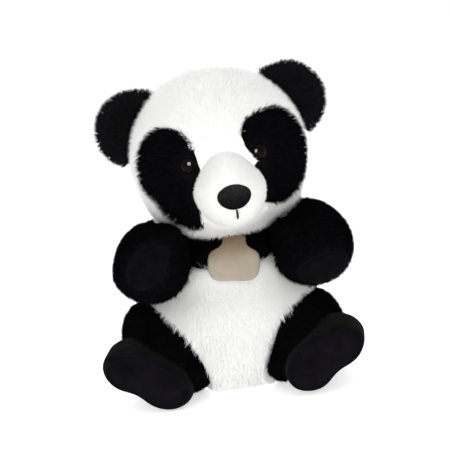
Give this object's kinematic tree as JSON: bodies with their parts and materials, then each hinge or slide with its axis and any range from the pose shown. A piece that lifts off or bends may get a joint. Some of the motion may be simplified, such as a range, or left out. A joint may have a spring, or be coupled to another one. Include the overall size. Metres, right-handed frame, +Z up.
{
  "type": "plush panda",
  "caption": "Seated plush panda with a weighted seat, a stuffed head that turns and nods, soft arms, legs and ears that flex at their seams, and a blank hanging label.",
  "frame": {"origin": "middle of the flat seat, on the surface that the panda sits on", "axes": "+Z up, -Y the way the panda faces, +X the panda's own left"},
  "size_m": [0.1892, 0.1664, 0.233],
  "materials": {
    "white_pile": "long white plush pile",
    "short_white_pile": "short white plush pile",
    "black_pile": "long black plush pile",
    "black_suede": "short black velour with a suede hand",
    "stuffing": "polyester fibre fill",
    "pellets": "plastic pellets in a cotton bag",
    "eye_plastic": "polished",
    "nose_flock": "flocked",
    "washer_plastic": "moulded",
    "thread": "embroidery thread",
    "label_cloth": "brushed suede cloth"
  },
  "bodies": {
    "torso": {"belly_panel": "white_pile", "back_panel": "white_pile", "chest_yoke": "black_pile", "shoulder_yoke": "black_pile", "seat_panel": "white_pile", "torso_stuffing": "stuffing", "pellet_bag": "pellets", "tail": "white_pile"},
    "neck": {"neck_core": "stuffing"},
    "head": {"head_cover": "white_pile", "head_stuffing": "stuffing", "muzzle_cover": "short_white_pile", "eye_patch_left": "black_pile", "eye_patch_right": "black_pile", "eye_left": "eye_plastic", "eye_right": "eye_plastic", "eye_washer_left": "washer_plastic", "eye_washer_right": "washer_plastic", "nose": "nose_flock", "nose_washer": "washer_plastic", "mouth_stitch": "thread"},
    "ear_left": {"ear_front_left": "black_pile", "ear_back_left": "black_pile"},
    "ear_right": {"ear_front_right": "black_pile", "ear_back_right": "black_pile"},
    "arm_left": {"arm_cover_left": "black_pile", "paw_pad_left": "black_suede", "arm_stuffing_left": "stuffing"},
    "arm_right": {"arm_cover_right": "black_pile", "paw_pad_right": "black_suede", "arm_stuffing_right": "stuffing"},
    "leg_left": {"thigh_cover_left": "black_pile", "foot_cover_left": "black_suede", "sole_left": "black_suede", "leg_stuffing_left": "stuffing"},
    "leg_right": {"thigh_cover_right": "black_pile", "foot_cover_right": "black_suede", "sole_right": "black_suede", "leg_stuffing_right": "stuffing"},
    "label": {"label": "label_cloth"}
  },
  "joints": [
    {"name": "head_turn", "type": "hinge", "parent": "torso", "child": "neck", "pos_m": [0.004, -0.004, 0.117], "axis": [0, 0, 1], "range_deg": [-25, 18], "stiffness_Nm_per_rad": 0.3},
    {"name": "head_nod", "type": "hinge", "parent": "neck", "child": "head", "pos_m": [0.004, -0.004, 0.117], "axis": [-0.9981, -0.0611, 0], "range_deg": [-6, 8], "stiffness_Nm_per_rad": 1},
    {"name": "ear_fold_left", "type": "hinge", "parent": "head", "child": "ear_left", "pos_m": [0.06093, 0.00243, 0.20419], "axis": [0.5163, 0.0316, -0.8558], "range_deg": [-15, 20], "stiffness_Nm_per_rad": 0.02},
    {"name": "ear_fold_right", "type": "hinge", "parent": "head", "child": "ear_right", "pos_m": [-0.05377, -0.00458, 0.19977], "axis": [0.4492, 0.0275, 0.893], "range_deg": [-15, 20], "stiffness_Nm_per_rad": 0.02},
    {"name": "arm_swing_left", "type": "hinge", "parent": "torso", "child": "arm_left", "pos_m": [0.06, 0, 0.102], "axis": [-1, 0, 0], "range_deg": [-6, 12], "stiffness_Nm_per_rad": 0.3},
    {"name": "arm_swing_right", "type": "hinge", "parent": "torso", "child": "arm_right", "pos_m": [-0.056, 0, 0.102], "axis": [-1, 0, 0], "range_deg": [-6, 12], "stiffness_Nm_per_rad": 0.3},
    {"name": "leg_lift_left", "type": "hinge", "parent": "torso", "child": "leg_left", "pos_m": [0.04873, -0.00512, 0.0365], "axis": [-0.8829, 0.4695, 0], "range_deg": [0, 12], "stiffness_Nm_per_rad": 0.3},
    {"name": "leg_lift_right", "type": "hinge", "parent": "torso", "child": "leg_right", "pos_m": [-0.04873, 0.00512, 0.0365], "axis": [-0.9613, -0.2756, 0], "range_deg": [0, 12], "stiffness_Nm_per_rad": 0.3},
    {"name": "label_swing", "type": "hinge", "parent": "torso", "child": "label", "pos_m": [0.0075, -0.0335, 0.1155], "axis": [-1, 0, 0], "range_deg": [0, 55]}
  ]
}
